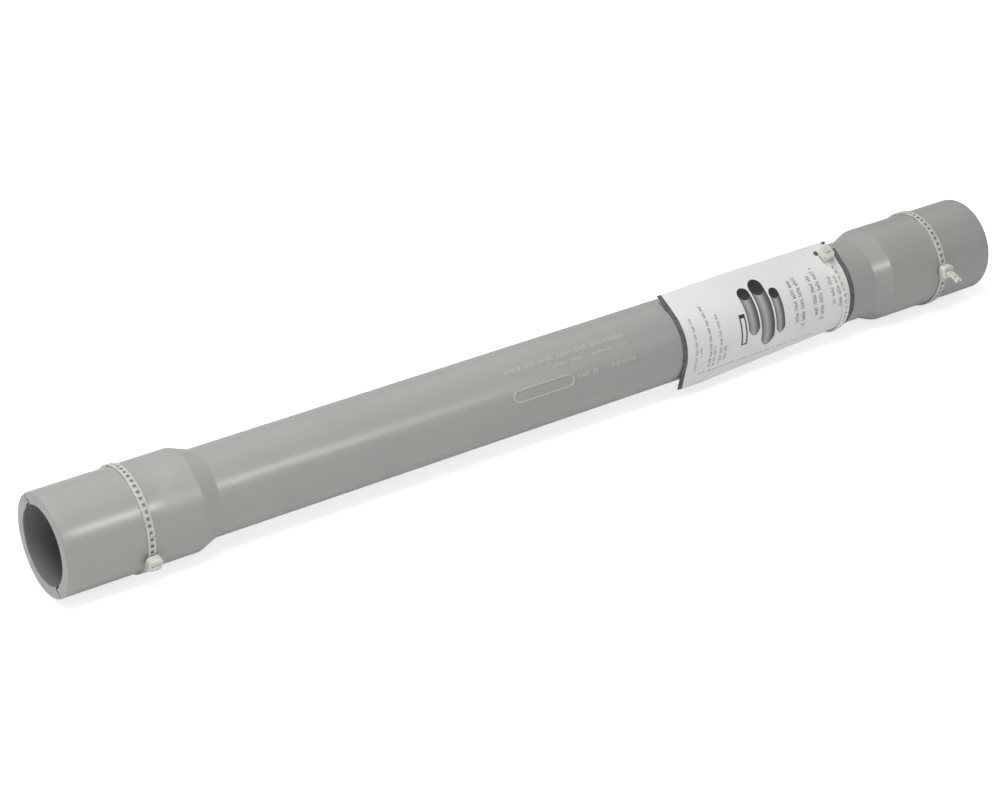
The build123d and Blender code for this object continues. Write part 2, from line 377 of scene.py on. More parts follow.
@dataclass(frozen=True)
class MouldedPvc(Finish):
    """Grey moulded plastic: satin, faintly mottled, with flow marks, dull scuffs and, near
    the left tie, the shallow dimple that the moulding gate leaves."""

    name: str = "moulded_grey_pvc"
    base: Colour = srgb(176, 177, 174)
    cool: Colour = srgb(168, 168, 168)
    scuff: Colour = srgb(192, 193, 188)
    # Painted shade: a darker grey inside the bore, for the shade within the sleeve.
    bore: Colour = srgb(138, 140, 143)
    # Painted shade: a dark grey on the seams' hidden faces, for the shadow in the joint's gap.
    seam: Colour = srgb(62, 62, 64)
    tone_step: Pair = (0.3, 0.7)
    mottle_share: float = 0.6
    cool_share: float = 0.55
    scuff_step: Pair = (0.64, 0.78)
    scuff_share: float = 0.35
    smear_step: Pair = (0.42, 0.62)
    smear_reach: Pair = (1.3, 0.3)
    smear_share: float = 0.5
    bore_shade_step: Pair = (24.85, 24.45)
    seam_shade_step: Pair = (0.3, 0.7)
    seam_shade_ends: Pair = (0.1, 0.5)
    roughness: float = 0.272
    patchy_roughness: float = 0.03
    scuff_roughness: float = 0.12
    smear_roughness: float = 0.1
    tube_roughness: float = 0.04
    tube_ends: Pair = (262.0, 250.0)
    shoulder_roughness: float = 0.12
    shoulder_zone: Triple = (-290.0, -258.0, 14.0)
    mottle: Noise = Noise(60.0, 3)
    streaks: Noise = Noise(2.2, 3, 0.6, stretch=(0.05, 1, 1))
    clouds: Noise = Noise(16.0, 2, stretch=(0.4, 1, 1), shift=(3, 70, 12))
    rub: Noise = Noise(5.0, 5, 0.75, stretch=(0.35, 1, 1), shift=(40, 9, 3))
    ripple: Noise = Noise(13.0, 1, stretch=(0.6, 1, 1), shift=(0, 31, 0))
    grain: Noise = Noise(0.5, 2, 0.6)
    ripple_relief: Pair = (0.18, 0.5)
    streak_relief: Pair = (0.008, 0.5)
    grain_relief: Pair = (0.008, 0.6)
    gate_along: float = -280.5
    gate_around: float = -23.0
    gate_reach: float = 9.0
    gate_round: float = 0.5
    gate_rim: Pair = (0.2, 1.0)
    gate_relief: Pair = (0.06, 1.0)

    def from_gate(self, along: Signal, around: Signal, from_axis: Signal) -> Signal:
        """Works out how far from the gate's middle a point is. The way round counts for less,
        because the gate is longer that way.

        Args:
            along: Where the point is along the sleeve.
            around: Its angle round the sleeve.
            from_axis: Its distance from the axis.

        Returns:
            The distance over the gate's reach.
        """
        across = (around - self.gate_around) * radians(1) * from_axis
        off = along - self.gate_along
        return (off * off + across * across * self.gate_round).root() / self.gate_reach

    def seam_shade_mask(self, along: Signal, from_axis: Signal) -> Signal:
        """Finds the seams' hidden faces, where painted shade makes the joint line read as the
        shadow in its gap.

        Args:
            along: Where a point is along the sleeve.
            from_axis: Its distance from the axis.

        Returns:
            1 inside the wall, and 0 on the shell's outside, bore and ends.
        """
        shell = HalfShells()
        slope = (abs(along) - shell.waist) / (shell.shoulder - shell.waist)
        bell = slope.most(0.0).least(1.0)
        outer = bell * (shell.bell_radius - shell.tube_radius) + shell.tube_radius
        inner = bell * (shell.socket_radius - shell.bore_radius) + shell.bore_radius
        deep = (outer - from_axis).rise(*self.seam_shade_step) * (from_axis - inner).rise(*self.seam_shade_step)
        return deep * abs(along).rise(*(shell.mouth - short for short in self.seam_shade_ends))

    def paint(self, graph: Surface) -> None:
        """Fills in the shader: tones, scuffs and the gate's smear over each other, painted shade
        that darkens the bore and the seams' hidden faces, a roughness that differs from place to
        place, and four reliefs.

        Args:
            graph: The material's graph.
        """
        along, from_axis, around = graph.round_the_sleeve()
        streaks, clouds = self.streaks.on(graph), self.clouds.on(graph)
        scuffs = self.rub.on(graph).rise(*self.scuff_step)
        gate = self.from_gate(along, around, from_axis)
        smear = gate.rise(*self.smear_reach) * clouds.rise(*self.smear_step)
        tone = self.mottle.on(graph) * self.mottle_share + streaks * (1 - self.mottle_share)
        tone = tone.rise(*self.tone_step)
        colour = graph.mix(tone * self.cool_share, self.base, self.cool)
        worn = (scuffs * self.scuff_share).most(smear * self.smear_share)
        colour = graph.mix(worn, colour, self.scuff)
        # Painted shade: the bore is darkened for the shade inside the sleeve.
        colour = graph.mix(from_axis.rise(*self.bore_shade_step), colour, self.bore)
        # Painted shade: the seams' hidden faces are darkened for the shadow in the gap.
        colour = graph.mix(self.seam_shade_mask(along, from_axis), colour, self.seam)
        dull = abs(along).rise(*self.tube_ends) * self.tube_roughness
        dull = dull + along.within(*self.shoulder_zone) * self.shoulder_roughness
        dull = dull + (streaks + clouds) * self.patchy_roughness
        dull = dull + scuffs * self.scuff_roughness + smear * self.smear_roughness
        graph.fill(Base_Color=colour, Roughness=dull + self.roughness, IOR=PLASTIC_IOR)
        graph.bump(gate.rise(*self.gate_rim), *self.gate_relief)
        graph.bump(self.ripple.on(graph), *self.ripple_relief)
        graph.bump(streaks, *self.streak_relief)
        graph.bump(self.grain.on(graph), *self.grain_relief)


@dataclass(frozen=True)
class NaturalNylon(Finish):
    """Uncoloured nylon: milky and slightly see-through, so that the thin strap takes the tone
    of what is under it, while the thick head above it stays pale.

    light_goes is how far red, green and blue light go in it, as shares of light_reach.
    """

    name: str = "natural_nylon"
    strap: Colour = srgb(215, 216, 210)
    strap_thin: Colour = srgb(201, 202, 196)
    head: Colour = srgb(232, 233, 225)
    head_thin: Colour = srgb(216, 217, 208)
    head_from: float = 33.6
    head_soft: float = 0.5
    light_share: float = 0.7
    light_goes: Triple = (1.0, 1.0, 0.85)
    light_reach: float = 2.0
    roughness: float = 0.36
    milk_roughness: float = 0.14
    milk_step: Pair = (0.3, 0.75)
    milk: Noise = Noise(3.0, 3, 0.6)
    milk_relief: Pair = (0.05, 0.4)
    grain: Noise = Noise(0.35, 2)
    grain_relief: Pair = (0.008, 0.5)

    def paint(self, graph: Surface) -> None:
        """Fills in the shader: clouded tones, another pair of them for what stands further
        out than the strap, light that passes a little below the surface, and two reliefs.

        Args:
            graph: The material's graph.
        """
        milk = self.milk.on(graph)
        _, from_axis, _ = graph.round_the_sleeve()
        thick = from_axis.rise(self.head_from - self.head_soft, self.head_from + self.head_soft)
        strap, head = (
            graph.mix(milk.rise(*self.milk_step), full, thin)
            for full, thin in ((self.strap, self.strap_thin), (self.head, self.head_thin))
        )
        graph.fill(
            Base_Color=graph.mix(thick, strap, head),
            Roughness=self.roughness + milk * self.milk_roughness,
            IOR=PLASTIC_IOR,
            Subsurface_Weight=self.light_share,
            Subsurface_Radius=self.light_goes,
            Subsurface_Scale=self.light_reach * MM,
        )
        graph.bump(milk, *self.milk_relief)
        graph.bump(self.grain.on(graph), *self.grain_relief)


@dataclass(frozen=True)
class BackingCard(Finish):
    """Dark grey fibrous card: mottled, dull, with paler rubbed fibres."""

    name: str = "backing_card"
    base: Colour = srgb(112, 110, 112)
    fibre: Colour = srgb(146, 143, 142)
    dark: Colour = srgb(82, 81, 83)
    blotches: Noise = Noise(3.2, 3, 0.65)
    blotch_step: Pair = (0.4, 0.68)
    blotch_share: float = 0.9
    fibres: Noise = Noise(0.9, 4, 0.7, stretch=(0.5, 1.6, 1.6))
    fibre_step: Pair = (0.5, 0.7)
    fibre_share: float = 0.8
    fibre_relief: Pair = (0.08, 0.7)
    roughness: float = 0.8
    fibre_smoothness: float = 0.15
    shine: float = 0.3

    def paint(self, graph: Surface) -> None:
        """Fills in the shader: blotches, and fibres that are paler, smoother and higher.

        Args:
            graph: The material's graph.
        """
        fibres = self.fibres.on(graph)
        blotches = self.blotches.on(graph).rise(*self.blotch_step)
        colour = graph.mix(blotches * self.blotch_share, self.base, self.dark)
        colour = graph.mix(fibres.rise(*self.fibre_step) * self.fibre_share, colour, self.fibre)
        dull = self.roughness - fibres * self.fibre_smoothness
        graph.fill(Base_Color=colour, Roughness=dull, Specular_IOR_Level=self.shine)
        graph.bump(fibres, *self.fibre_relief)


@dataclass(frozen=True)
class PrintBlock:
    """Two lines of greyed-out print on the label, which run round the sleeve: the left side of
    the first line from the label's left edge, the pitch of the lines, where each line starts
    and ends from the label's upper edge, and how dark the ink is."""

    start: float
    pitch: float
    first: Pair
    second: Pair
    ink: float


@dataclass(frozen=True)
class DrawnPipe:
    """A pipe in the label's picture: its sides along the sleeve, how far down it runs from the
    middle of its mouth, and half the mouth's height."""

    start: float
    end: float
    top: float
    bottom: float
    curve: float


@dataclass(frozen=True)
class PrintedPaper(Finish):
    """White coated paper with a plain generic print: greyed-out lines and a few pipes.

    Of a line of print, stroke, word and print_height are shares of the pitch, gap is the share
    of a word's cell that stays white, and stem and bar are where ink lies across a stroke and
    over the foot of the line: two ends and the width of the soft edges, as in the two spans of
    the rule. Some strokes are short and start at short_from, and the palest ones have faint of
    the block's ink. edge is the width of the soft edges of the pipes and the badge, and foot
    half that of a pipe's lower end.
    """

    name: str = "printed_paper"
    paper: Colour = srgb(249, 249, 249)
    shade: Colour = srgb(244, 243, 244)
    ink: Colour = srgb(70, 70, 72)
    rim_ink: Colour = srgb(60, 60, 62)
    mouth: Colour = srgb(62, 62, 64)
    mouth_far: Colour = srgb(30, 30, 32)
    body_stops: tuple[tuple[float, Colour], ...] = (
        (0.0, srgb(96, 96, 98)),
        (0.16, srgb(152, 152, 154)),
        (0.42, srgb(190, 190, 188)),
        (0.78, srgb(112, 112, 114)),
        (1.0, srgb(66, 66, 68)),
    )
    width: float = 138.8
    length: float = 72.4
    blocks: tuple[PrintBlock, ...] = (
        PrintBlock(6.2, 3.6, (23.0, 61.0), (43.5, 50.5), 0.82),
        PrintBlock(18.0, 3.5, (15.6, 61.0), (46.0, 61.0), 0.98),
        PrintBlock(26.2, 3.9, (25.6, 61.0), (47.0, 60.0), 0.82),
        PrintBlock(90.4, 5.4, (19.0, 49.0), (17.5, 52.5), 0.95),
        PrintBlock(107.0, 5.4, (20.0, 48.0), (15.6, 52.5), 0.95),
        PrintBlock(123.0, 5.2, (25.0, 44.0), (25.6, 47.0), 0.84),
    )
    edge: float = 0.2
    stroke: float = 0.24
    stem: Triple = (0.1, 0.72, 0.25)
    bar: Triple = (0.0, 0.12, 0.08)
    bar_ink: float = 0.5
    short_step: Pair = (0.5, 0.6)
    short_from: float = 0.2
    faint: float = 0.5
    word: float = 1.5
    gap: float = 0.2
    print_height: float = 0.6
    pipes: tuple[DrawnPipe, ...] = (
        DrawnPipe(51.0, 60.4, 18.5, 43.0, 4.6),
        DrawnPipe(61.8, 73.0, 16.5, 52.5, 6.0),
        DrawnPipe(74.4, 81.8, 24.0, 48.0, 3.9),
    )
    foot: float = 0.15
    oval_step: Pair = (1.12, 0.9)
    mouth_fall: float = 0.4
    badge_along: Pair = (44.6, 49.6)
    badge_down: Pair = (31.0, 52.0)
    badge_rim: float = 1.1
    badge_head: float = 2.6
    rule_down: Triple = (63.6, 65.0, 0.1)
    rule_along: Triple = (10.0, 112.0, 0.2)
    rule_dot: float = 0.8
    rule_seed: float = 7.0
    rule_ink: float = 0.42
    rule_step: Pair = (0.25, 0.6)
    clouds: Noise = Noise(22.0, 3)
    cloud_step: Pair = (0.35, 0.75)
    cloud_share: float = 0.8
    fibre: Noise = Noise(0.6, 3, 0.65)
    fibre_share: float = 0.15
    fibre_relief: Pair = (0.012, 0.6)
    ripple: Noise = Noise(9.0, 2)
    ripple_relief: Pair = (0.12, 0.5)
    roughness: float = 0.5
    fibre_roughness: float = 0.12
    shine: float = 0.4

    def words(self, along: Signal, down: Signal, block: PrintBlock, seed: int) -> Signal:
        """Works out where the ink of one block lies.

        Each line is cut into cells of a word's length, each cell into short upright strokes
        that differ in height and darkness, and a part of each cell is left white.

        Args:
            along: Millimetres along the sleeve.
            down: Millimetres down the flat label.
            block: The block's place and sizes.
            seed: What makes its chances differ from the other blocks'.

        Returns:
            The ink, from 0 to 1.
        """
        place = (along - block.start) / block.pitch
        row = place.whole().most(0.0).least(1.0)
        across = place - row
        step = down / (self.stroke * block.pitch)
        chance = along.graph.chance(step.whole(), row, float(seed))
        shape = step.part().within(*self.stem).most(across.within(*self.bar) * self.bar_ink)
        foot = chance.rise(*self.short_step) * self.short_from
        tall = (across > foot) * (across < self.print_height)
        top, bottom = (row * (b - a) + a for a, b in zip(block.first, block.second))
        word = (down / (self.word * block.pitch)).part() > self.gap
        inside = (down > top) * (down < bottom) * word
        return inside * tall * shape * (chance * (1 - self.faint) + self.faint) * block.ink

    def drawn_pipe(
        self, along: Signal, down: Signal, pipe: DrawnPipe, colour: NodeSocket
    ) -> NodeSocket:
        """Lays one drawn pipe on the label: a body with round shading and a curved lower end,
        and a dark oval opening at its top.

        Args:
            along: Millimetres along the sleeve.
            down: Millimetres down the flat label.
            pipe: The pipe's place.
            colour: What is under it.

        Returns:
            The colour with the pipe on it.
        """
        graph = along.graph
        middle, half = (pipe.start + pipe.end) / 2, (pipe.end - pipe.start) / 2
        across = (along - middle) / half
        bulge = (1 - across * across) * pipe.curve
        shading = graph.node("ValToRGB", {"Fac": across * 0.5 + 0.5}, stops=self.body_stops)
        body = along.within(pipe.start, pipe.end, self.edge)
        body = body * down.rise(pipe.top - self.edge / 2, pipe.top + self.edge / 2)
        body = body * (down - bulge).rise(pipe.bottom + self.foot, pipe.bottom - self.foot)
        colour = graph.mix(body, colour, shading.outputs["Color"])
        height = (down - pipe.top) / pipe.curve
        oval = (across * across + height * height).rise(*self.oval_step)
        depth = height * self.mouth_fall + 0.5
        return graph.mix(oval, colour, graph.mix(depth, self.mouth_far, self.mouth))

    def badge_ink(self, along: Signal, down: Signal) -> Signal:
        """Works out a plain oblong frame beside the pipes, which holds nothing.

        Args:
            along: Millimetres along the sleeve.
            down: Millimetres down the flat label.

        Returns:
            Its ink, from 0 to 1.
        """
        (start, end), (top, bottom), rim = self.badge_along, self.badge_down, self.badge_rim
        whole = along.within(start, end, self.edge) * down.within(top, bottom, self.edge)
        inside = along.within(start + rim, end - rim, self.edge)
        inside = inside * down.within(top + self.badge_head, bottom - rim, self.edge)
        return whole - inside * whole

    def paint(self, graph: Surface) -> None:
        """Fills in the shader: the paper's tones, the print, a dotted rule, the empty frame
        and the pipes over each other, and two reliefs.

        Args:
            graph: The material's graph.
        """
        along, down = graph.flat(self.width, self.length)
        fibre = self.fibre.on(graph)
        tone = self.clouds.on(graph).rise(*self.cloud_step) * self.cloud_share
        colour = graph.mix(tone + fibre * self.fibre_share, self.paper, self.shade)
        dots = graph.chance((along / self.rule_dot).whole(), self.rule_seed)
        rule = down.within(*self.rule_down) * along.within(*self.rule_along)
        ink = rule * dots.rise(*self.rule_step) * self.rule_ink
        for seed, block in enumerate(self.blocks, start=1):
            ink = ink.most(self.words(along, down, block, seed))
        colour = graph.mix(ink, colour, self.ink)
        colour = graph.mix(self.badge_ink(along, down), colour, self.rim_ink)
        for pipe in self.pipes:
            colour = self.drawn_pipe(along, down, pipe, colour)
        dull = self.roughness + fibre * self.fibre_roughness
        graph.fill(Base_Color=colour, Roughness=dull, Specular_IOR_Level=self.shine)
        graph.bump(fibre, *self.fibre_relief)
        graph.bump(self.ripple.on(graph), *self.ripple_relief)


# Geometry that several pieces use


@dataclass(frozen=True)
class CrossSection:
    """The plane across the sleeve. Its first axis points out of the middle of the front half
    shell, turned up by the facing angle, and its second one down round the sleeve."""

    facing: float = 33.1

    def place(self, along: Array | float, out: Array | float, down: Array | float) -> Array:
        """Puts points of the cross-section into space.

        Y and Z are out times the first axis plus down times the second, which is the first
        one turned a quarter turn.

        Args:
            along: How far along the sleeve each point is.
            out: How far along the first axis.
            down: How far along the second axis.

        Returns:
            The points in metres, with one more axis than the arguments.
        """
        turn = radians(self.facing)
        y = -np.cos(turn) * out - np.sin(turn) * down
        z = np.sin(turn) * out - np.cos(turn) * down
        return np.stack(np.broadcast_arrays(along, y, z), axis=-1) * MM


SECTION = CrossSection()


def rounded_line(
    points: Sequence[Pair], radii: Sequence[float], steps: int = 6
) -> tuple[Array, Array]:
    """Rounds the inner corners of a line of straight runs.

    Each corner becomes an arc that touches both its runs: the arc's middle is on the line that
    halves the corner, as far out as puts it one radius from each run.

    Args:
        points: The line's corners and ends.
        radii: The radius at each corner, without the two ends.
        steps: How many pieces each arc has.

    Returns:
        The points of the rounded line, and the unit normal to the left of the line at each.
    """
    corners = np.array(points, float)
    runs = np.diff(corners, axis=0)
    runs /= np.linalg.norm(runs, axis=1, keepdims=True)
    left = np.stack([-runs[:, 1], runs[:, 0]], axis=1)
    turn = np.arctan2((left[:-1] * runs[1:]).sum(1), (runs[:-1] * runs[1:]).sum(1))[:, None]
    radius = np.array(radii)[:, None]
    start = corners[1:-1] - runs[:-1] * radius * np.tan(abs(turn) / 2)
    angle = (turn * np.linspace(0, 1, steps + 1))[..., None]
    swept = left[:-1, None] * np.cos(angle) - runs[:-1, None] * np.sin(angle)
    reach = np.sign(turn) * radius
    arcs = (start + reach * left[:-1])[:, None] - reach[:, None] * swept
    line = np.concatenate([corners[:1], arcs.reshape(-1, 2), corners[-1:]])
    return line, np.concatenate([left[:1], swept.reshape(-1, 2), left[-1:]])


def finish_mesh(
    name: str,
    points: Array,
    faces: Sequence[Sequence[int]],
    smooth_below: float = 35.0,
    flat: Array | None = None,
) -> Object:
    """Makes an object of points and faces and shades it smooth up to an angle.

    Args:
        name: The piece's name.
        points: Its points in metres.
        faces: Its faces, each as places in the points.
        smooth_below: The angle between two faces up to which they look smooth.
        flat: Where each point lies on the flat sheet, from 0 to 1, for the UV map.

    Returns:
        The object, at the origin.
    """
    mesh = bpy.data.meshes.new(name)
    mesh.from_pydata(points.reshape(-1, 3), [], faces)
    mesh.validate()
    mesh.polygons.foreach_set("use_smooth", np.ones(len(mesh.polygons), bool))
    mesh.set_sharp_from_angle(angle=radians(smooth_below))
    if flat is not None:
        layer = mesh.uv_layers.new(name="flat")
        corner = np.zeros(len(mesh.loops), np.int32)
        mesh.loops.foreach_get("vertex_index", corner)
        layer.data.foreach_set("uv", flat[corner].astype(np.float32).ravel())
    mesh.update()
    piece = bpy.data.objects.new(name, mesh)
    bpy.context.scene.collection.objects.link(piece)
    return piece


def space_inside(points: Array, quads: Array) -> float:
    """Works out the space that quads close: the sum over their triangles of the corners'
    triple product, over six.

    Args:
        points: The points.
        quads: The quads, each as places in the points.

    Returns:
        The space, negative where the quads face inwards.
    """
    first, second, third, fourth = (points[quads[:, i]] for i in range(4))
    halves = (np.cross(first, second) * third).sum() + (np.cross(first, third) * fourth).sum()
    return float(halves) / 6


def quads_between(here: Array, there: Array) -> Array:
    """Returns the quads between each ring of points and its neighbour ring, given the places
    of the points as rings by points."""
    quads = [here, there, np.roll(there, -1, 1), np.roll(here, -1, 1)]
    return np.stack(quads, axis=-1).reshape(-1, 4)


def swept_loops(name: str, loops: Array) -> Object:
    """Closes a row of equal loops into a solid, with its faces turned outwards: quads between
    neighbouring loops, and one face at each end.

    Args:
        name: The piece's name.
        loops: The points, as stations by points by three, in metres.

    Returns:
        The object.
    """
    place = np.arange(loops.size // 3).reshape(loops.shape[:2])
    points = loops.reshape(-1, 3)
    quads, first, last = quads_between(place[:-1], place[1:]), place[0], place[-1][::-1]
    if space_inside(points, quads) < 0:
        quads, first, last = quads[:, ::-1], first[::-1], last[::-1]
    return finish_mesh(name, points, [*quads.tolist(), first.tolist(), last.tolist()])


def dress(piece: Object, material: Material, slot: Slot, *nodes: str) -> None:
    """Gives a piece its material and body, and hides the CAD nodes that it stands for.

    Args:
        piece: The piece.
        material: Its material.
        slot: The record's material slot; not used.
        nodes: The CAD nodes that it replaces.
    """
    piece.data.materials.clear()
    piece.data.materials.append(material)
    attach(piece, BODY)
    if nodes:
        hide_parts(*nodes)
    mesh = piece.data
    log.info("%s: %d points, %d faces", piece.name, len(mesh.vertices), len(mesh.polygons))


# The half shells


class Edge(Enum):
    """The two long edges of a half shell: 1 carries the tongue, and -1 holds the other's."""

    TONGUE = 1
    GROOVE = -1


@dataclass(frozen=True)
class HalfShells:
    """The two half shells, which lock together by a tongue and a groove along each seam."""

    mouth: float = 354.0
    shoulder: float = 265.3
    waist: float = 253.0
    bell_radius: float = 31.85
    socket_radius: float = 24.3
    tube_radius: float = 27.25
    bore_radius: float = 20.45
    outer_roundings: Triple = (2.0, 3.0, 1.0)
    outer_steps: int = 8
    inner_roundings: Triple = (0.6, 0.6, 0.5)
    inner_steps: int = 5
    seam_gap: float = 0.62
    outer_step: float = 1.15
    tongue_root_height: float = 3.9
    tongue_reach: float = 3.4
    tongue_height: float = 1.7
    lip_reach: float = 4.2
    lip_thickness: float = 0.4
    seam_rounding: float = 0.74
    outside_rounding: float = 0.45
    inside_rounding: float = 0.12
    mouth_easing: float = 0.38
    rounding_points: int = 6
    run_step: float = 12.0
    bell_points: int = 9
    least_step: float = 0.012
    outer_points: int = 140
    inner_points: int = 90

    def profiles(self) -> tuple[Array, Array]:
        """Works out the wall's outside and inside along one half of the sleeve: straight on
        the tube, sloping from the waist to the shoulder, and straight to the mouth.

        Returns:
            Two rows of (distance from the middle, radius), up to the mouth.
        """
        rims = (self.bell_radius, self.socket_radius)
        sides = (
            (self.tube_radius, *rims, self.outer_roundings, self.outer_steps),
            (self.bore_radius, *rims[::-1], self.inner_roundings, self.inner_steps),
        )
        outside, inside = (
            rounded_line(
                [
                    (0, tube),
                    (self.waist, tube),
                    (self.shoulder, bell),
                    (self.mouth, bell),
                    (self.mouth, beyond),
                ],
                roundings,
                steps,
            )[0][:-1]
            for tube, bell, beyond, roundings, steps in sides
        )
        return outside, inside

    def stations(self) -> Array:
        """Works out the places along the sleeve at which a loop stands: where its profile
        bends, even steps between the bends, and the same again for the other half.

        Returns:
            The places, from end to end.
        """
        even = np.arange(0, self.shoulder, self.run_step)
        bell = np.linspace(self.shoulder, self.mouth, self.bell_points)
        half = np.unique(np.concatenate([*(side[:, 0] for side in self.profiles()), even, bell]))
        half = half[np.append(np.diff(half) > self.least_step, True)]
        return np.concatenate([-half[:0:-1], half])

    def seam_edge(self, edge: Edge, along: Array, outer: Array, inner: Array) -> Array:
        """Works out one long edge of the front half shell at every station.

        The seam's middle line runs in from the outside, steps to the tongue's tip, back under
        it and down to the bore. The shell's edge is that line moved away from the other shell
        by half the gap, and a little more right at the mouth. Its first and last corners are
        rounded into the outside and the bore.

        Args:
            edge: Which edge it is.
            along: The stations.
            outer: The outer radius at each.
            inner: The inner radius at each.

        Returns:
            How far out and how far down each point is, as two by stations by points.
        """
        side = edge.value
        middle, normal = rounded_line(
            [
                (self.outer_step, 2 * self.tongue_root_height),
                (self.outer_step, self.tongue_root_height),
                (-self.tongue_reach, self.tongue_height),
                (self.lip_reach, self.lip_thickness),
                (self.lip_reach, -self.lip_thickness),
            ],
            [self.seam_rounding] * 3,
        )
        bends = [0, self.waist, self.shoulder, self.mouth]
        radii = [self.bore_radius, self.bore_radius, self.socket_radius, self.socket_radius]
        beyond = np.maximum(abs(along) - (self.mouth - self.mouth_easing), 0)
        eased = self.mouth_easing - np.sqrt(np.maximum(self.mouth_easing**2 - beyond**2, 0))
        moved = side * (self.seam_gap / 2 + eased)[:, None]
        across, height = (middle[1:-1, None, i].T + moved * normal[1:-1, i] for i in (0, 1))
        height = height + np.interp(abs(along), bends, radii)[:, None]

        turn = np.linspace(0, pi / 2, self.rounding_points)
        r_out, r_in = self.outside_rounding, self.inside_rounding
        across_out = self.outer_step + moved + side * r_out * (1 - np.sin(turn))
        top = np.sqrt(outer[:, None] ** 2 - across_out[:, :1] ** 2)
        across_in = self.lip_reach + moved + side * r_in * (1 - np.cos(turn))
        bottom = np.sqrt(inner[:, None] ** 2 - across_in[:, -1:] ** 2)
        across = np.concatenate([across_out, across, across_in], axis=1)
        rounded = top - r_out * (1 - np.cos(turn)), bottom + r_in * (1 - np.sin(turn))
        return side * np.stack([across, np.concatenate([rounded[0], height, rounded[1]], axis=1)])

    def front_loops(self) -> Array:
        """Works out the front half shell as a loop at each station.

        A loop runs round the outside as an arc, in along the tongue edge, back round the bore
        as an arc, and out along the groove edge. An arc's points stand at even angles between
        its ends, at the radius of the station.

        Returns:
            The points in metres, as stations by points by three.
        """
        along = self.stations()
        outer, inner = (np.interp(abs(along), *side.T) for side in self.profiles())
        tongue = self.seam_edge(Edge.TONGUE, along, outer, inner)
        groove = self.seam_edge(Edge.GROOVE, along, outer, inner)
        arcs = []
        for radius, start, end, count in (
            (outer, groove[..., :1], tongue[..., :1], self.outer_points),
            (inner, tongue[..., -1:], groove[..., -1:], self.inner_points),
        ):
            first, last = (np.arctan2(down, out) for out, down in (start, end))
            angle = first + (last - first) * np.linspace(0, 1, count)[1:-1]
            arcs.append(radius[:, None] * np.stack([np.cos(angle), np.sin(angle)]))
        loops = np.concatenate([arcs[0], tongue, arcs[1], groove[..., ::-1]], axis=-1)
        return SECTION.place(along[:, None], *loops)

    def build(self, material: Material) -> None:
        """Builds and dresses both half shells; the rear one is the front one turned half round
        about the sleeve's axis."""
        loops = self.front_loops()
        for name, turned in (("front_half", loops), ("rear_half", loops * [1, -1, -1])):
            dress(swept_loops(name, turned), material, Slot.GREY_SHELL, f"{name}_shell")


@dataclass(frozen=True)
class MarkRow:
    """A row of raised pads: its angle round the sleeve, the pads' height across the row, and
    where its groups start and end along the sleeve."""

    angle: float
    tall: float
    groups: tuple[Pair, ...]


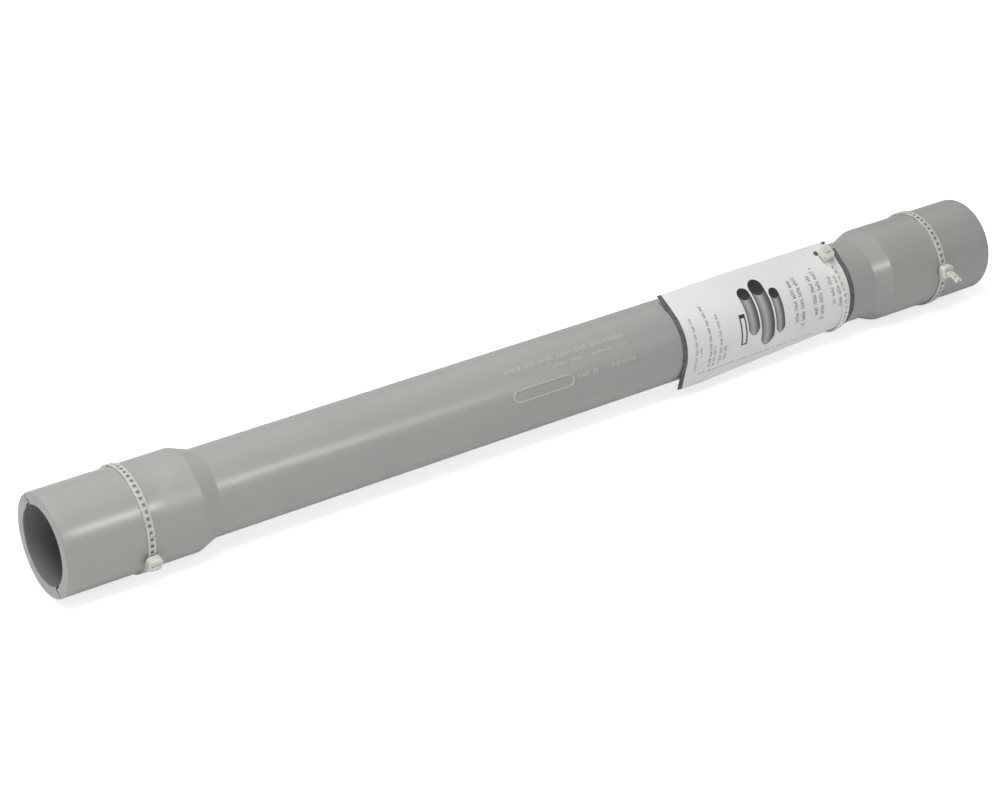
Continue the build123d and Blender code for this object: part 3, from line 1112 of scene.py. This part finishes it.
@dataclass(frozen=True)
class RaisedMarks:
    """Small plain pads moulded on each half shell, grouped in three rows where a maker's
    marking would stand, and a bare oblong rim beside the lowest row."""

    radius: float = 27.25
    relief: float = 0.5
    sunk: float = 0.15
    base: float = 0.25
    edge: float = 0.22
    pad_width: float = 1.25
    pad_pitch: float = 2.15
    short_share: float = 0.7
    short_every: int = 3
    smooth_below: float = 60.0
    rows: tuple[MarkRow, ...] = (
        MarkRow(
            -25.0,
            3.5,
            ((-45, -32.5), (-29.5, -21), (-18, -7.5), (-4.5, 6), (10, 18.5), (22, 47)),
        ),
        MarkRow(-12.5, 2.8, ((-10, 0.5), (4, 14.5), (20, 36), (39, 47))),
        MarkRow(10.0, 3.5, ((5, 13.5), (16.5, 20.5), (31, 49))),
    )
    rim_along: float = -22.5
    rim_angle: float = 11.0
    rim_size: Pair = (47.0, 8.8)
    rim_corner: float = 4.2
    rim_width: float = 1.4
    steps: int = 9
    corner_steps: int = 12

    def over_shell(self, along: Array, across: Array, height: Array | float) -> Array:
        """Places points of the unrolled shell: the angle is the way across over the radius."""
        turn, reach = across / self.radius, self.radius + height
        return SECTION.place(along, reach * np.cos(turn), reach * np.sin(turn))

    def profile(self, inset: Array) -> Array:
        """Returns how high a mark stands at a distance from its edge: a smooth step from
        inside the shell up to the relief."""
        share = np.clip(inset / self.edge, 0, 1)
        return (self.relief + self.sunk) * share**2 * (3 - 2 * share) - self.sunk

    def pad(self, middle: float, angle: float, tall: float) -> tuple[Array, Array]:
        """Works out one pad.

        Along and across it the points crowd towards the edges, as the cosine of even steps
        does, and each stands as high as its distance to the nearest edge says.

        Args:
            middle: Where its middle is along the sleeve.
            angle: Where its middle is round the sleeve.
            tall: Its size across the row.

        Returns:
            The points in metres, and its faces.
        """
        even = (1 - np.cos(np.linspace(0, pi, self.steps))) / 2 - 0.5
        off, across = np.meshgrid(self.pad_width * even, tall * even, indexing="ij")
        inset = np.minimum(self.pad_width / 2 - abs(off), tall / 2 - abs(across))
        across = across + radians(angle) * self.radius
        top = self.over_shell(middle + off, across, self.profile(inset))
        base = self.over_shell(middle + off, across, -self.base)
        place = np.arange(off.size).reshape(off.shape)
        quads = [place[:-1, :-1], place[1:, :-1], place[1:, 1:], place[:-1, 1:]]
        quads = np.stack(quads, -1).reshape(-1, 4)
        edge = [place[:-1, 0], place[-1, :-1], place[:0:-1, -1], place[0, :0:-1]]
        edge = np.concatenate(edge)
        following = np.roll(edge, -1)
        wall = np.stack([following, edge, edge + off.size, following + off.size], -1)
        faces = np.concatenate([quads, quads[:, ::-1] + off.size, wall])
        return np.concatenate([top.reshape(-1, 3), base.reshape(-1, 3)]), faces

    def oblong_rim(self) -> tuple[Array, Array]:
        """Works out the oblong rim.

        A band follows a rectangle with round corners. At each point of that line the band's
        cross-section lies along the line's normal, and its two ends meet.

        Returns:
            The points in metres, and its faces.
        """
        half = np.array(self.rim_size) / 2 - self.rim_width / 2
        corner = np.sign([(1, 1), (-1, 1), (-1, -1), (1, -1)]) * (half - self.rim_corner)
        angle = np.arange(4)[:, None] * pi / 2 + np.linspace(0, pi / 2, self.corner_steps)
        normal = np.stack([np.cos(angle), np.sin(angle)], axis=-1).reshape(-1, 2)
        line = np.repeat(corner, self.corner_steps, axis=0) + normal * self.rim_corner
        off = np.linspace(-0.5, 0.5, self.steps) * self.rim_width
        height = self.profile(self.rim_width / 2 - abs(off))
        height = np.concatenate([height, np.full(self.steps, -self.base)])
        off = np.concatenate([off, off[::-1]])[:, None]
        flat = line[:, None, :] + normal[:, None, :] * off
        across = flat[..., 1] + radians(self.rim_angle) * self.radius
        points = self.over_shell(flat[..., 0] + self.rim_along, across, height)
        place = np.arange(across.size).reshape(across.shape)
        return points.reshape(-1, 3), quads_between(place, np.roll(place, -1, axis=0))

    def front_marks(self) -> tuple[Array, Array]:
        """Works out every mark on the front half shell.

        Returns:
            The points in metres, and the faces, turned outwards.
        """
        marks = [self.oblong_rim()]
        for row in self.rows:
            for start, end in row.groups:
                for place in range(int((end - start) / self.pad_pitch) + 1):
                    is_short = place % self.short_every == 1
                    tall = row.tall * (self.short_share if is_short else 1.0)
                    marks.append(self.pad(start + place * self.pad_pitch, row.angle, tall))
        shifts = np.cumsum([0, *(len(points) for points, _ in marks)])
        outwards = [f if space_inside(p, f) > 0 else f[:, ::-1] for p, f in marks]
        faces = np.concatenate([faces + shift for faces, shift in zip(outwards, shifts)])
        return np.concatenate([points for points, _ in marks]), faces

    def build(self, material: Material) -> None:
        """Builds the marks of both half shells, the rear one's turned half round, and dresses
        them as one piece.

        Args:
            material: Their material.
        """
        points, faces = self.front_marks()
        both = np.concatenate([points, points * [1, -1, -1]])
        faces = np.concatenate([faces, faces + len(points)])
        marks = finish_mesh("raised_marks", both, faces.tolist(), self.smooth_below)
        dress(marks, material, Slot.GREY_SHELL)


# The ties


@dataclass(frozen=True)
class Droop:
    """How a tie's loose tail hangs: the tie's place and lean, the angle round the sleeve at
    which the tail leaves, and the arc over which it turns down."""

    along: float = 311.2
    lean: float = 3.6
    leaves_at: float = 25.9
    bend_start: float = 38.9
    bend_length: float = 4.0
    turn: float = 26.0
    cuts: int = 6
    cut_within: float = 0.0005

    def axes(self) -> tuple[Array, Array, Array]:
        """Works out the frame in which the tail bends.

        Returns:
            A point on the sleeve's axis, the unit vector along which the tail leaves, and the
            one that it turns towards.
        """
        lean, angle = radians(self.lean), radians(self.leaves_at)
        front, below = SECTION.place(0, 1, 0) / MM, SECTION.place(0, 0, 1) / MM
        front = cos(lean) * front - sin(lean) * np.array([1.0, 0, 0])
        leaves = cos(angle) * front + sin(angle) * below
        return np.array([self.along, 0, 0]) * MM, leaves, cos(angle) * below - sin(angle) * front

    def bend(self, work: bmesh.types.BMesh) -> None:
        """Bends the tail of a mesh.

        The mesh is first cut across the tail, so that it can follow the arc. A point that is
        some way past the arc's start then moves to the same way along the arc, or past its end
        on the straight line that leaves it, and keeps its distance from the tail's middle.

        Args:
            work: The tie's mesh, whose tail still points straight out.
        """
        origin, leaves, sideways = self.axes()
        for reach in np.linspace(0, self.bend_length, self.cuts) + self.bend_start:
            bmesh.ops.bisect_plane(
                work,
                geom=[*work.verts, *work.edges, *work.faces],
                dist=self.cut_within * MM,
                plane_co=origin + leaves * reach * MM,
                plane_no=leaves,
            )
        points = np.array([vertex.co[:] for vertex in work.verts])
        past = (points - origin) @ leaves / MM - self.bend_start
        off = (points - origin) @ sideways / MM
        radius = self.bend_length / radians(self.turn)
        angle = np.clip(past / radius, 0, radians(self.turn))
        straight = np.maximum(past - self.bend_length, 0)
        ahead = radius * np.sin(angle) + straight * np.cos(angle) - off * np.sin(angle)
        aside = radius * (1 - np.cos(angle)) + straight * np.sin(angle) + off * (np.cos(angle) - 1)
        moved = points + ((ahead - past)[:, None] * leaves + aside[:, None] * sideways) * MM
        for vertex, place in zip(work.verts, np.where(past[:, None] > 0, moved, points)):
            vertex.co = place


@dataclass(frozen=True)
class LadderTies:
    """The three ladder ties. Their CAD shape is right, so each is a copy of it whose loose
    triangles are joined and whose edges get the small radius of moulded nylon."""

    edge_radius: float = 0.16
    edge_angle: float = 32.0
    edge_segments: int = 2
    join_within: float = 0.002
    flat_within: float = 0.5

    def soften(self, node: str, droop: Droop | None = None) -> Object:
        """Copies one tie and rounds its edges.

        Args:
            node: The CAD node's name.
            droop: How its tail hangs, if it has a long one.

        Returns:
            The new piece.
        """
        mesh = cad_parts[node].data.copy()
        work = bmesh.new()
        work.from_mesh(mesh)
        bmesh.ops.remove_doubles(work, verts=work.verts, dist=self.join_within * MM)
        if droop:
            droop.bend(work)
        level = radians(self.flat_within)
        bmesh.ops.dissolve_limit(work, angle_limit=level, verts=work.verts, edges=work.edges)
        for face in work.faces:
            face.smooth = True
        work.to_mesh(mesh)
        work.free()
        mesh.name = node.replace("cable_tie", "ladder_tie")
        piece = bpy.data.objects.new(mesh.name, mesh)
        bpy.context.scene.collection.objects.link(piece)
        rounding = piece.modifiers.new("edge_radius", "BEVEL")
        rounding.width = self.edge_radius * MM
        rounding.segments = self.edge_segments
        rounding.limit_method = "ANGLE"
        rounding.angle_limit = radians(self.edge_angle)
        rounding.use_clamp_overlap = True
        rounding.harden_normals = True
        return piece

    def build(self, on_shell: Material, on_paper: Material) -> None:
        """Builds and dresses the three ties, in the nylon that each one's background gives."""
        for node, droop, material in (
            ("near_cable_tie", None, on_shell),
            ("far_cable_tie", Droop(), on_shell),
            ("label_cable_tie", None, on_paper),
        ):
            dress(self.soften(node, droop), material, Slot.NYLON, node)


# The backing sheet and the label


@dataclass(frozen=True)
class SheetLay:
    """How the sheets lie on the sleeve: laid round it between two angles, straight above the
    upper one, and below the lower one straight at the left end and laid round at the right."""

    base_radius: float = 27.8
    upper_angle: float = -20.8
    upper_length: float = 20.8
    lower_angle: float = 46.3
    lower_length: float = 18.3
    flare_start: float = 105.4
    flare_end: float = 218.5

    def wrapped_length(self, lift: float) -> float:
        """Returns how long a sheet is between the two angles that lies this much further out."""
        return (self.base_radius + lift) * radians(self.lower_angle - self.upper_angle)

    def outer(
        self, along: Array, down: Array, lift: float, hugs: bool = False
    ) -> tuple[Array, Array, Array]:
        """Lays points of a flat sheet on the sleeve.

        Above the upper angle a point is on the line that touches the round there. Between the
        angles it is on the round, at an angle that grows as the distance over the radius.
        Below the lower angle the sheet bends by a share of the round's own bend, none up to
        the flare and all of it from the flare's end on: it is on an arc of that bend.

        Args:
            along: Where each point is along the sleeve.
            down: How far down the flat sheet it is from the upper edge of the straight part.
            lift: How much further out than the base radius the sheet lies.
            hugs: Whether the sheet stays on the round above the upper angle too.

        Returns:
            How far out and down each point is, and the angle at which the sheet faces there.
        """
        radius = self.base_radius + lift
        on_round = down - self.upper_length
        below = np.maximum(on_round - self.wrapped_length(lift), 0)
        above = 0 if hugs else np.minimum(on_round, 0)
        share = np.clip((along - self.flare_start) / (self.flare_end - self.flare_start), 0, 1)
        turn = share / (self.base_radius + share * lift) * below
        inward = below * turn / 2 * np.sinc(turn / (2 * pi)) ** 2
        angle = radians(self.upper_angle) + (on_round - above - below) / radius
        out, fall = radius - inward, above + below * np.sinc(turn / pi)
        return (
            out * np.cos(angle) - fall * np.sin(angle),
            out * np.sin(angle) + fall * np.cos(angle),
            angle + turn,
        )


LAY = SheetLay()


@dataclass(frozen=True)
class Flap:
    """How the sheets' upper flap stands off its even shape: it waves between its free edge and
    the tie that holds it, and the end away from the tie leans in.

    Each wave is a length over a whole turn, where it starts, and how far it swings.
    """

    free_length: float = 14.0
    tie_along: float = 219.92
    held_within: float = 8.0
    held_over: float = 30.0
    waves: tuple[Triple, ...] = ((17.0, 0.6, 0.16), (8.3, 2.0, 0.06))
    wave_power: float = 1.5
    lean: float = 2.6
    lean_from: float = 150.0
    lean_over: float = 60.0
    lean_power: float = 1.3

    def off(self, along: Array, down: Array) -> Array:
        """Works out how far the flap stands off.

        Slow waves along the sleeve, times a share that grows towards the free edge and dies
        away towards the tie. The lean is taken off besides, by a share that grows both away
        from the tie and towards the free edge.

        Args:
            along: Where each point is along the sleeve.
            down: How far down the flat sheet it is.

        Returns:
            The distance in millimetres, outwards.
        """
        free = np.clip((self.free_length - down) / self.free_length, 0, 1) ** self.wave_power
        held = np.clip((abs(along - self.tie_along) - self.held_within) / self.held_over, 0, 1)
        wave = sum(np.sin(along / run + start) * swing for run, start, swing in self.waves)
        leaning = np.clip((self.lean_from - along) / self.lean_over, 0, 1)
        leaning = leaning * np.clip(1 - down / LAY.upper_length, 0, 1) ** self.lean_power
        return wave * free * held * held * (3 - 2 * held) - self.lean * leaning

    def lay(self, along: Array, down: Array, lift: float) -> tuple[Array, Array, Array]:
        """Lays points as SheetLay.outer does and moves them off along the way they face.

        Args:
            along: Where each point is along the sleeve.
            down: How far down the flat sheet it is.
            lift: How much further out than the base radius the sheet lies.

        Returns:
            How far out and down each point is, and the angle at which the sheet faces there.
        """
        out, fall, facing = LAY.outer(along, down, lift)
        off = self.off(along, down)
        return out + off * np.cos(facing), fall + off * np.sin(facing), facing


@dataclass(frozen=True)
class Cut:
    """Something cut out of a flat sheet: a round hole or a slot, by its middle, its half sizes
    and how far its long side is turned up."""

    along: float
    down: float
    half_along: float
    half_down: float
    is_round: bool
    turn: float = 0.0

    def turned(self) -> Array:
        """Returns the matrix that turns row vectors of the cut's own axes into the sheet's."""
        across, up = cos(radians(self.turn)), sin(radians(self.turn))
        return np.array([(across, -up), (up, across)])

    def outline(self, steps: int = 28) -> Array:
        """Works out the cut's outline.

        Args:
            steps: How many points a round one has.

        Returns:
            The points on the flat sheet.
        """
        angle = np.linspace(0, 2 * pi, steps, endpoint=False)
        oval = np.stack([np.cos(angle), np.sin(angle)], axis=1)
        shape = oval if self.is_round else np.array([(-1, -1), (1, -1), (1, 1), (-1, 1)], float)
        return shape * [self.half_along, self.half_down] @ self.turned() + [self.along, self.down]

    def holds(self, points: Array) -> Array:
        """Tells which points lie in the cut.

        Args:
            points: The points on the flat sheet.

        Returns:
            For each whether it does.
        """
        near = (points - [self.along, self.down]) @ self.turned().T
        near = near / [self.half_along, self.half_down]
        return np.hypot(*near.T) < 1 if self.is_round else abs(near).max(axis=1) < 1


@dataclass(frozen=True)
class FlatPattern:
    """A sheet as it is cut flat: its width, the grid's lines down it and the cuts in it.

    step is the grid's step along it, margin is how far the grid keeps from a cut, points
    nearer than weld_within become one, and least_area is twice the area of the least triangle.
    """

    width: float
    rows: Array
    cuts: tuple[Cut, ...]
    step: float = 1.6
    margin: float = 0.35
    weld_within: float = 1e-5
    least_area: float = 1e-6

    def triangles(self) -> tuple[Array, Array]:
        """Divides the sheet along a grid and round its cuts.

        Grid points that lie in or near a cut are left out, the cuts' outlines are put in as
        edges, as far as they lie on the sheet, and the triangles whose middle lies in a cut or
        that have no area are dropped.

        Returns:
            The points of the flat sheet and the triangles.
        """
        end = np.array([self.width, self.rows[-1]])
        columns = np.linspace(0, self.width, round(self.width / self.step) + 1)
        points = np.stack(np.meshgrid(columns, self.rows, indexing="ij"), axis=-1).reshape(-1, 2)
        on_edge = ((points <= 0) | (points >= end)).any(axis=1)
        for cut in self.cuts:
            sizes = {name: getattr(cut, name) + self.margin for name in ("half_along", "half_down")}
            kept = on_edge | ~replace(cut, **sizes).holds(points)
            points, on_edge = points[kept], on_edge[kept]
        edges = []
        for cut in self.cuts:
            outline = cut.outline()
            count = np.arange(len(outline))
            pairs = np.stack([count, np.roll(count, -1)], axis=1)
            on_sheet = ((outline >= 0) & (outline <= end)).all(axis=1)
            edges += (pairs[on_sheet[pairs].any(axis=1)] + len(points)).tolist()
            points = np.concatenate([points, np.clip(outline, 0, end)])
        vectors = [Vector(point) for point in points]
        vertices, _, faces, *_ = delaunay_2d_cdt(vectors, edges, [], 0, self.weld_within)
        flat = np.array([tuple(vertex) for vertex in vertices])
        found = np.array([face for face in faces if len(face) == 3])
        corners = flat[found]
        (x1, y1), (x2, y2) = (corners[:, 1] - corners[:, 0]).T, (corners[:, 2] - corners[:, 0]).T
        kept = abs(x1 * y2 - y1 * x2) >= self.least_area
        for cut in self.cuts:
            kept &= ~cut.holds(corners.mean(axis=1))
        used, packed = np.unique(found[kept], return_inverse=True)
        return flat[used], packed.reshape(-1, 3)

    def make(
        self,
        name: str,
        start: float,
        lay: Callable[[Array, Array], Sequence[Array]],
        thickness: float,
    ) -> Object:
        """Cuts the sheet, lays it on the sleeve and gives it its thickness.

        Args:
            name: The piece's name.
            start: Where its left edge is along the sleeve.
            lay: What places points, given how far along the sleeve and down the sheet they are.
            thickness: Its thickness.

        Returns:
            The piece.
        """
        flat, triangles = self.triangles()
        size = self.width, self.rows[-1]
        along = flat[:, 0] + start
        out, fall, facing = lay(along, flat[:, 1])
        normal = SECTION.place(0, np.cos(facing), np.sin(facing)) / MM
        middle = SECTION.place(along, out, fall)
        log.info("%s, flat: %.1f by %.1f mm", name, *size)
        return thick_sheet(name, middle, normal, thickness, triangles, flat / size)


def thick_sheet(
    name: str, middle: Array, normal: Array, thickness: float, triangles: Array, flat: Array
) -> Object:
    """Gives a surface its thickness and closes it, with its faces turned outwards.

    Each point moves out and in by half the thickness along its normal, and walls join the
    two along every edge that has a triangle on one side only.

    Args:
        name: The piece's name.
        middle: The middle surface's points, in metres.
        normal: The unit normal at each.
        thickness: The thickness in millimetres.
        triangles: The surface's triangles.
        flat: Where each point lies on the flat sheet, from 0 to 1.

    Returns:
        The object.
    """
    count = len(middle)
    half = normal * thickness / 2 * MM
    points = np.concatenate([middle + half, middle - half])
    sides = np.concatenate([triangles[:, pair] for pair in ([0, 1], [1, 2], [2, 0])])
    _, first, seen = np.unique(
        np.sort(sides, axis=1), axis=0, return_index=True, return_counts=True
    )
    start, end = sides[first[seen == 1]].T
    walls = np.stack([end, start, start + count, end + count], axis=1)
    lower = triangles[:, ::-1] + count
    corners = points[triangles]
    faced = np.cross(corners[:, 1] - corners[:, 0], corners[:, 2] - corners[:, 0])
    if (faced * normal[triangles[:, 0]]).sum() < 0:
        triangles, lower, walls = triangles[:, ::-1], lower[:, ::-1], walls[:, ::-1]
    faces = [*triangles.tolist(), *lower.tolist(), *walls.tolist()]
    return finish_mesh(name, points, faces, smooth_below=50, flat=np.concatenate([flat, flat]))


@dataclass(frozen=True)
class Sheets:
    """The folded backing sheet and the printed label in front of it."""

    start: float = 89.4
    end: float = 228.2
    left_margin: float = 3.0
    right_margin: float = 4.4
    label_thickness: float = 0.3
    label_lift: float = 0.66
    leaf_thickness: float = 0.42
    leaf_lift: float = 0.225
    fold_margin: float = 0.9
    inner_end_angle: float = -43.5
    tie_down: float = 10.5
    tie_turn: float = 5.6
    slot_half_along: float = 2.95
    slot_half_down: float = 1.15
    hole_from_end: float = 12.6
    hole_from_edge: float = 6.9
    hole_radius: float = 1.8
    notch_from_end: float = 2.4
    notch_depth: float = 2.4
    notch_radius: float = 1.6
    fold_steps: int = 8
    corner_down: float = 7.0
    corner_over: float = 0.4
    row_step: float = 1.3
    flap: Flap = Flap()

    def slot(self, edge: float) -> Cut:
        """Returns the slot for the tie's strap in a sheet whose left edge is at a place."""
        sizes = self.slot_half_along, self.slot_half_down
        return Cut(self.flap.tie_along - edge, self.tie_down, *sizes, False, self.tie_turn)

    def rows(self, start: float, length: float) -> Array:
        """Returns even lines down a sheet over a length of it."""
        return start + np.linspace(0, length, round(length / self.row_step) + 1)

    def build_label(self, material: Material) -> None:
        """Builds and dresses the label, with its punched hole, the notch in its upper edge and
        the slot for the tie.

        Args:
            material: Its material.
        """
        width = self.end - self.start
        length = LAY.upper_length + LAY.wrapped_length(self.label_lift) + LAY.lower_length
        hole, notch = self.hole_radius, self.notch_radius
        cuts = (
            Cut(width - self.hole_from_end, self.hole_from_edge, hole, hole, True),
            Cut(width - self.notch_from_end, self.notch_depth - notch, notch, notch, True),
            self.slot(self.start),
        )
        label = FlatPattern(width, self.rows(0, length), cuts).make(
            "label",
            self.start,
            lambda along, down: self.flap.lay(along, down, self.label_lift),
            self.label_thickness,
        )
        dress(label, material, Slot.PAPER, "printed_label")

    def build_backing(self, material: Material) -> None:
        """Builds and dresses the backing sheet, which is folded double under the sleeve and
        has its upper right corner cut off beside the slot for the tie.

        The outer leaf lies as the label does. At its lower edge the sheet turns half round
        through the fold, and the inner leaf runs back up under it and hugs the tube.

        Args:
            material: Its material.
        """
        lift = self.leaf_lift
        start = self.start - self.left_margin
        width = self.end + self.right_margin - start
        lower = LAY.lower_length + self.fold_margin - self.leaf_thickness
        hugged = radians(LAY.lower_angle - self.inner_end_angle)
        fold_starts = LAY.upper_length + LAY.wrapped_length(lift) + lower
        fold_ends = fold_starts + pi * lift

        def folded(along: Array, down: Array) -> Array:
            """Lays points on the outer leaf, round the fold or on the inner leaf.

            Args:
                along: Where each point is along the sleeve.
                down: How far down the flat sheet it is.

            Returns:
                How far out and down each point is, and the angle at which the sheet faces.
            """
            out, fall, facing = self.flap.lay(along, np.minimum(down, fold_starts), lift)
            turn = np.clip((down - fold_starts) / lift, 0, pi)
            inwards, onwards = lift * (1 - np.cos(turn)), lift * np.sin(turn)
            out = out - inwards * np.cos(facing) - onwards * np.sin(facing)
            fall = fall - inwards * np.sin(facing) + onwards * np.cos(facing)
            back = LAY.upper_length + LAY.wrapped_length(-lift) + lower - (down - fold_ends)
            inner = LAY.outer(along, back, -lift, hugs=True)
            turned = np.array([0.0, 0.0, pi])[:, None]
            return np.where(down > fold_ends, np.array(inner) + turned, (out, fall, facing + turn))

        rows = np.concatenate([
            self.rows(0, fold_starts)[:-1],
            fold_starts + np.linspace(0, pi * lift, self.fold_steps + 1)[:-1],
            self.rows(fold_ends, lower + (LAY.base_radius - lift) * hugged),
        ])
        corner_width = self.right_margin + self.corner_over
        corner = Cut(width, 0.0, corner_width, self.corner_down, False)
        pattern = FlatPattern(width, rows, (self.slot(start), corner))
        sheet = pattern.make("backing", start, folded, self.leaf_thickness)
        dress(sheet, material, Slot.CARD, "backing_sheet")


# The studio


@dataclass(frozen=True)
class SoftBox:
    """A rectangular lamp: where it stands and the point it faces, in metres, its size in
    metres, its power in watts, its colour, and whether it gives only a reflection."""

    name: str
    stands: Triple
    faces: Triple
    size: Pair
    power: float
    colour: Triple
    only_shines: bool = False

    def build(self) -> None:
        """Makes the lamp."""
        lamp = bpy.data.lights.new(self.name, "AREA")
        lamp.shape = "RECTANGLE"
        lamp.size, lamp.size_y = self.size
        lamp.energy = self.power
        lamp.color = self.colour
        holder = bpy.data.objects.new(self.name, lamp)
        holder.location = self.stands
        holder.visible_diffuse = not self.only_shines
        away = Vector(self.stands) - Vector(self.faces)
        holder.rotation_euler = away.to_track_quat("Z", "Y").to_euler()
        bpy.context.scene.collection.objects.link(holder)


WARM: Triple = (1.0, 1.0, 0.97)
"""The colour of the lamps that draw the streak of light on the shell."""


@dataclass(frozen=True)
class Studio:
    """A plain white floor, soft lamps and the camera at the photograph's place, in metres."""

    camera_at: Triple = (-0.8601, -1.1680, 0.7609)
    camera_back: Triple = (-0.5072, -0.7210, 0.4721)
    lens: float = 93.08
    sensor: float = 36.0
    clip: Pair = (0.05, 50.0)
    floor_size: float = 6.0
    ambient: float = 0.252
    floor_glow: float = 0.115
    floor_seen: float = 0.72
    floor: Colour = srgb(236, 236, 235)
    floor_roughness: float = 0.9
    floor_shine: float = 0.1
    glow: Colour = (1.0, 0.93, 1.0, 1.0)
    pale: Colour = (0.98, 0.99, 1.0, 1.0)
    white: Colour = (1.0, 1.0, 1.0, 1.0)
    lamps: tuple[SoftBox, ...] = (
        SoftBox("streak_strip", (0.37, -1.252, 0.996), (0.37, 0, 0), (0.29, 0.06), 6.4, WARM, True),
        SoftBox("streak_end", (0.62, -1.252, 0.996), (0.62, 0, 0), (0.21, 0.08), 1.3, WARM, True),
        SoftBox("top_box", (-0.5, -0.278, 1.576), (-0.5, 0, 0), (0.8, 1.1), 17.4, (0.99, 1, 0.95)),
        SoftBox("back_box", (-0.5, 0.918, 1.311), (-0.5, 0, 0), (0.8, 1.1), 6.9, (1.0, 1.0, 0.98)),
        SoftBox("right_box", (1.2, 0.918, 1.311), (1.2, 0, 0), (1.0, 1.1), 1.2, (1.0, 1.0, 0.98)),
        SoftBox("left_box", (-1.9, -0.6, 0.9), (0, 0, 0), (0.9, 0.9), 1.0, (0.98, 0.99, 1.0)),
    )

    def lay_floor(self) -> None:
        """Lays the floor at the object's lowest point. It gives off a little light of its own,
        and the camera sees it nearly white, plus what falls on it, so that the object's shadow
        stays."""
        corners = np.array([(-1, -1, 0), (1, -1, 0), (1, 1, 0), (-1, 1, 0)]) * self.floor_size / 2
        floor = finish_mesh("studio_floor", corners + [0, 0, cad_box[0].z], [[0, 1, 2, 3]])
        graph = Surface("studio_floor")
        graph.fill(Base_Color=self.floor, Roughness=self.floor_roughness)
        graph.fill(Specular_IOR_Level=self.floor_shine)
        shades = []
        for colour, strength in ((self.glow, self.floor_glow), (self.pale, self.floor_seen)):
            glow = graph.node("Emission", {"Color": colour, "Strength": strength})
            both = {0: graph.shader.outputs["BSDF"], 1: glow.outputs["Emission"]}
            shades.append(graph.node("AddShader", both).outputs["Shader"])
        graph.put(graph.output.inputs["Surface"], graph.by_ray(*shades))
        floor.data.materials.append(graph.material)

    def make_world(self) -> None:
        """Makes the surroundings: even soft light, which the camera sees as white."""
        world = bpy.data.worlds.new("studio_world")
        bpy.context.scene.world = world
        graph = Graph(world)
        light, seen = (
            graph.node("Background", {"Color": colour, "Strength": strength}).outputs[0]
            for colour, strength in ((self.pale, self.ambient), (self.white, 1.0))
        )
        graph.node("OutputWorld", {"Surface": graph.by_ray(light, seen)})

    def place_camera(self) -> None:
        """Places the camera where the photograph was taken from."""
        lens = bpy.data.cameras.new("camera")
        lens.lens = self.lens
        lens.sensor_fit = "HORIZONTAL"
        lens.sensor_width = self.sensor
        lens.clip_start, lens.clip_end = self.clip
        camera = bpy.data.objects.new("camera", lens)
        camera.rotation_mode = "QUATERNION"
        camera.location = self.camera_at
        camera.rotation_quaternion = (-Vector(self.camera_back)).to_track_quat("-Z", "Y")
        bpy.context.scene.collection.objects.link(camera)
        bpy.context.scene.camera = camera

    def build(self) -> None:
        """Builds the camera, the floor, the surroundings and the lamps."""
        self.place_camera()
        self.lay_floor()
        self.make_world()
        for lamp in self.lamps:
            lamp.build()
        bpy.context.scene.view_settings.view_transform = "Standard"


def main() -> None:
    """Builds the studio and every piece of the sleeve in order."""
    logging.basicConfig(level=logging.INFO, format="%(message)s")
    Studio().build()
    HalfShells().build(MouldedPvc().material())
    # Painted highlight: the raised marks get a paler grey, so that they read as lit by the light
    # that catches them.
    paler = {"base": srgb(196, 198, 193), "cool": srgb(186, 187, 184), "seam": srgb(188, 189, 186)}
    RaisedMarks().build(MouldedPvc("painted_highlight_pvc", **paler).material())
    on_paper = {"strap": srgb(250, 250, 246), "strap_thin": srgb(246, 246, 240)}
    label_nylon = NaturalNylon("nylon_on_paper", head_from=31.1, **on_paper)
    LadderTies().build(NaturalNylon().material(), label_nylon.material())
    sheets = Sheets()
    sheets.build_backing(BackingCard().material())
    sheets.build_label(PrintedPaper().material())


if __name__ == "__main__":
    main()
